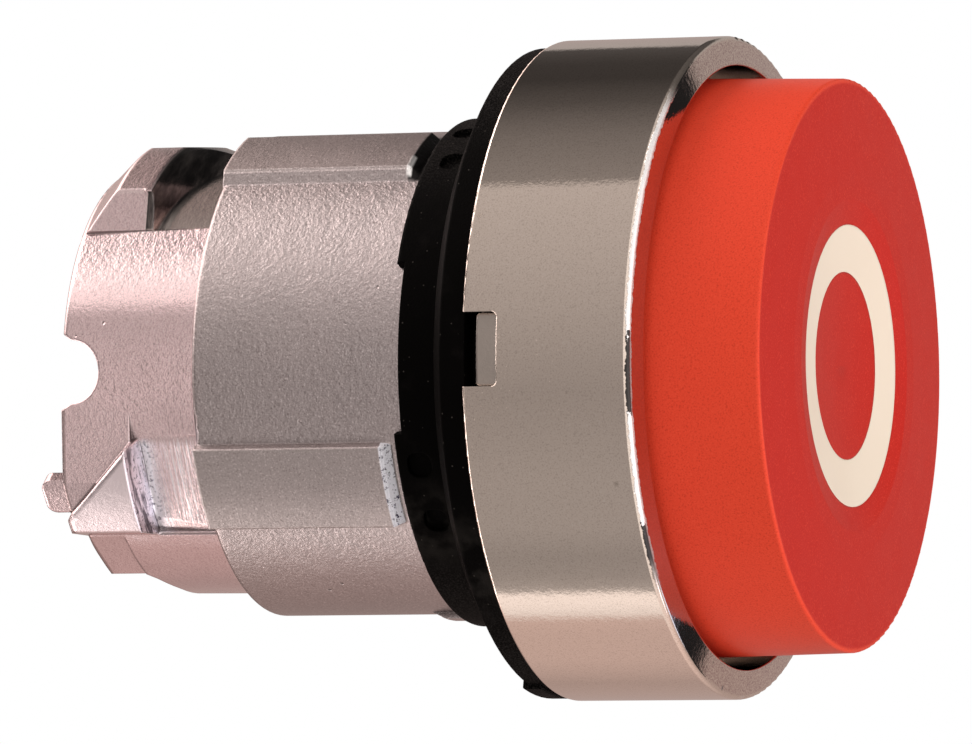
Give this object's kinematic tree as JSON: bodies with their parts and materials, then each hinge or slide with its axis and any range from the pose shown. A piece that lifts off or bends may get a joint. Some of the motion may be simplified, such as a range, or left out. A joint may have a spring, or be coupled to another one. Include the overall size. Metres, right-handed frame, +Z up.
{
  "type": "stop push button head",
  "caption": "Projecting red stop push-button head with a chromed round bezel, white O ring mark, panel gasket and zinc barrel with bayonet lugs; springs back when released.",
  "frame": {"origin": "on the button axis at the panel sealing face, the flat rear face of the rubber gasket that rests on the front of the panel", "axes": "+Z up as mounted, -Y out of the panel towards the operator, +Y into the panel along the barrel, +X to the operator's right"},
  "size_m": [0.029, 0.0354, 0.029],
  "materials": {
    "barrel": "as-cast zinc alloy, matt",
    "bezel": "bright chromed metal",
    "bezel_ring": "spring steel",
    "bezel_oring": "matt black rubber",
    "panel_gasket": "matt black rubber",
    "front_bush": "natural acetal",
    "wiper_seal": "matt black rubber",
    "seal_retainer": "black moulded plastic",
    "rear_bush": "natural acetal",
    "fixed_washer": "plated steel",
    "return_spring": "stainless spring wire",
    "moving_washer": "plated steel",
    "plunger": "black moulded plastic",
    "stop_buffer": "soft black rubber",
    "plunger_clip": "spring steel",
    "pusher_foot": "natural moulded plastic",
    "cap_carrier": "black moulded plastic",
    "cap": "red moulded plastic, satin gloss",
    "marking_ring": "off-white moulded marking"
  },
  "bodies": {
    "housing": {"barrel": "barrel", "bezel": "bezel", "bezel_ring": "bezel_ring", "bezel_oring": "bezel_oring", "panel_gasket": "panel_gasket", "front_bush": "front_bush", "wiper_seal": "wiper_seal", "seal_retainer": "seal_retainer", "rear_bush": "rear_bush", "fixed_washer": "fixed_washer", "return_spring": "return_spring"},
    "button": {"moving_washer": "moving_washer", "plunger": "plunger", "stop_buffer": "stop_buffer", "plunger_clip": "plunger_clip", "pusher_foot": "pusher_foot", "cap_carrier": "cap_carrier", "cap": "cap", "marking_ring": "marking_ring"}
  },
  "joints": [
    {"name": "press", "type": "slide", "parent": "housing", "child": "button", "axis": [0, 1, 0], "range_m": [0, 0.0043], "stiffness_N_per_m": 400, "springref_m": -0.005, "deforming": ["return_spring"]}
  ]
}
